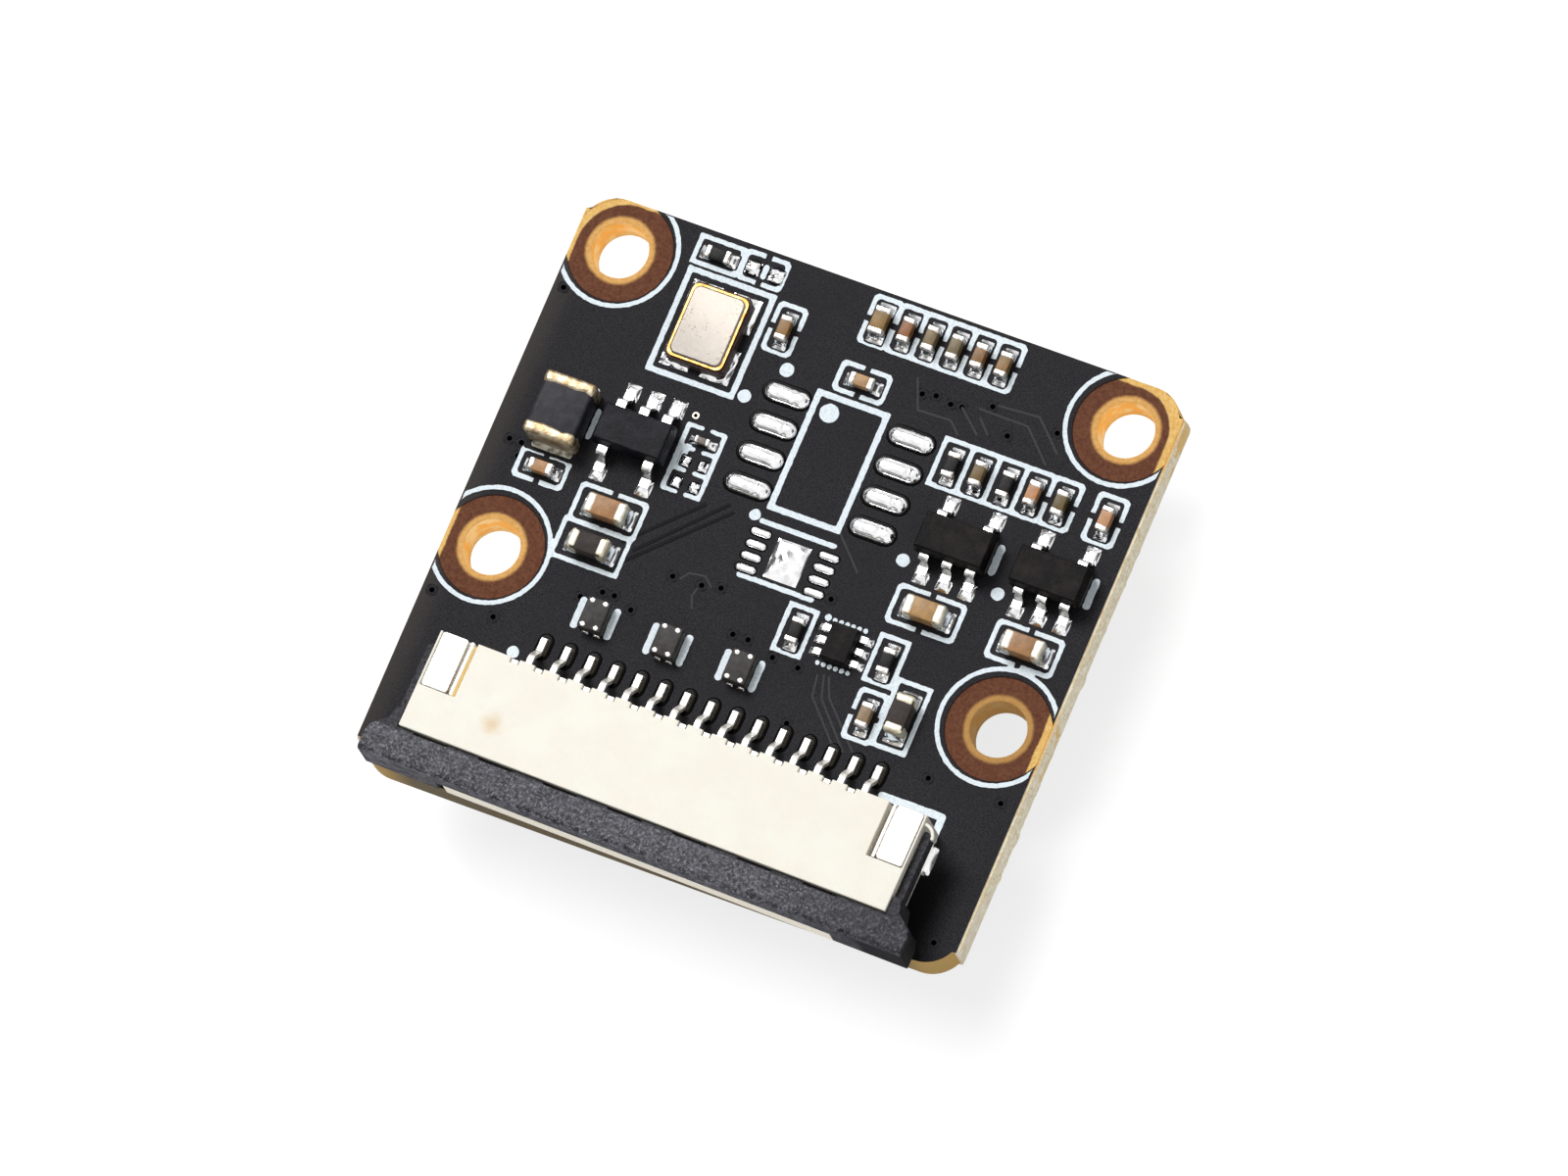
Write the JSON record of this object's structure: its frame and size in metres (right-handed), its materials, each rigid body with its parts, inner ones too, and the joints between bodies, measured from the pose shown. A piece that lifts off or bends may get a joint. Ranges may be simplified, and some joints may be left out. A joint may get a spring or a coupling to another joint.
{
  "type": "camera module",
  "caption": "Small camera board seen from its rear: fixed-focus lens module under it, flat-cable connector with a sliding latch, chips and four mounting holes.",
  "frame": {"origin": "centre of the four mounting holes, halfway through the board", "axes": "+X along the 21 mm hole spacing, +Z out of the side with the parts, the flat cable leaves towards -Y"},
  "size_m": [0.025, 0.0244, 0.0093],
  "materials": {
    "adhesive_foam": "foam",
    "amber_flex": "polyimide film",
    "black_connector": "moulded",
    "black_glaze": "glazed",
    "black_holder": "moulded, matt",
    "black_mould": "moulded epoxy",
    "board_laminate": "black solder mask over brown glass-fibre laminate",
    "brown_ceramic": "fired ceramic",
    "brown_ferrite": "fired ferrite",
    "dark_ceramic": "fired ceramic",
    "dark_ferrite": "fired ferrite",
    "filter_glass": "polished",
    "gold_ring": "gold plated",
    "grey_ferrite": "moulded powder",
    "ivory_plastic": "moulded",
    "lens_glass": "polished, coated",
    "pale_gold_dip": "dipped and tinned",
    "satin_lid": "satin",
    "sensor_glass": "polished",
    "slate_plastic": "moulded, glass filled",
    "solder": "bright solder",
    "tinned_lead": "tin plated",
    "tinned_sheet": "tin plated",
    "white_print": "screen-printed ink"
  },
  "bodies": {
    "camera_board": {"bead_1": "dark_ferrite", "bead_2": "dark_ferrite", "board": "board_laminate", "board_socket": "black_connector", "crystal_base": "dark_ceramic", "crystal_lid": "satin_lid", "crystal_seal_ring": "gold_ring", "ffc_contacts": "tinned_sheet", "ffc_hold_downs": "tinned_sheet", "ffc_housing": "ivory_plastic", "filter_glass": "filter_glass", "foam_pad": "adhesive_foam", "front_lens": "lens_glass", "image_sensor": "sensor_glass", "inductor_core": "grey_ferrite", "inductor_ends": "pale_gold_dip", "large_cap_1": "brown_ceramic", "large_cap_2": "brown_ceramic", "large_cap_3": "brown_ceramic", "left_regulator_body": "black_mould", "left_regulator_leads": "tinned_lead", "lens_barrel": "black_holder", "lens_holder": "black_holder", "line_filter_1": "brown_ferrite", "line_filter_2": "brown_ferrite", "line_filter_3": "brown_ferrite", "lone_cap_1": "brown_ceramic", "lone_cap_2": "brown_ceramic", "lone_cap_3": "brown_ceramic", "lone_cap_4": "brown_ceramic", "lone_cap_5": "brown_ceramic", "middle_regulator_body": "black_mould", "middle_regulator_leads": "tinned_lead", "rear_lens": "lens_glass", "resistor_1": "black_glaze", "resistor_2": "black_glaze", "resistor_3": "black_glaze", "resistor_4": "black_glaze", "resistor_5": "black_glaze", "right_regulator_body": "black_mould", "right_regulator_leads": "tinned_lead", "row_cap_1": "brown_ceramic", "row_cap_2": "brown_ceramic", "row_cap_3": "brown_ceramic", "sensor_base_and_tail": "amber_flex", "silkscreen": "white_print", "six_lead_chip_body": "black_mould", "six_lead_chip_leads": "tinned_lead", "solder_joints": "solder", "spare_pads": "solder", "tail_plug": "black_connector", "tiny_cap": "brown_ceramic", "top_cap_1": "brown_ceramic", "top_cap_2": "brown_ceramic", "top_cap_3": "brown_ceramic", "top_cap_4": "brown_ceramic", "top_cap_5": "brown_ceramic", "top_cap_6": "brown_ceramic"},
    "latch": {"ffc_latch": "slate_plastic"}
  },
  "joints": [
    {"name": "latch_slide", "type": "slide", "parent": "camera_board", "child": "latch", "axis": [-0.0175, -0.9998, 0], "range_m": [0, 0.0009]}
  ]
}
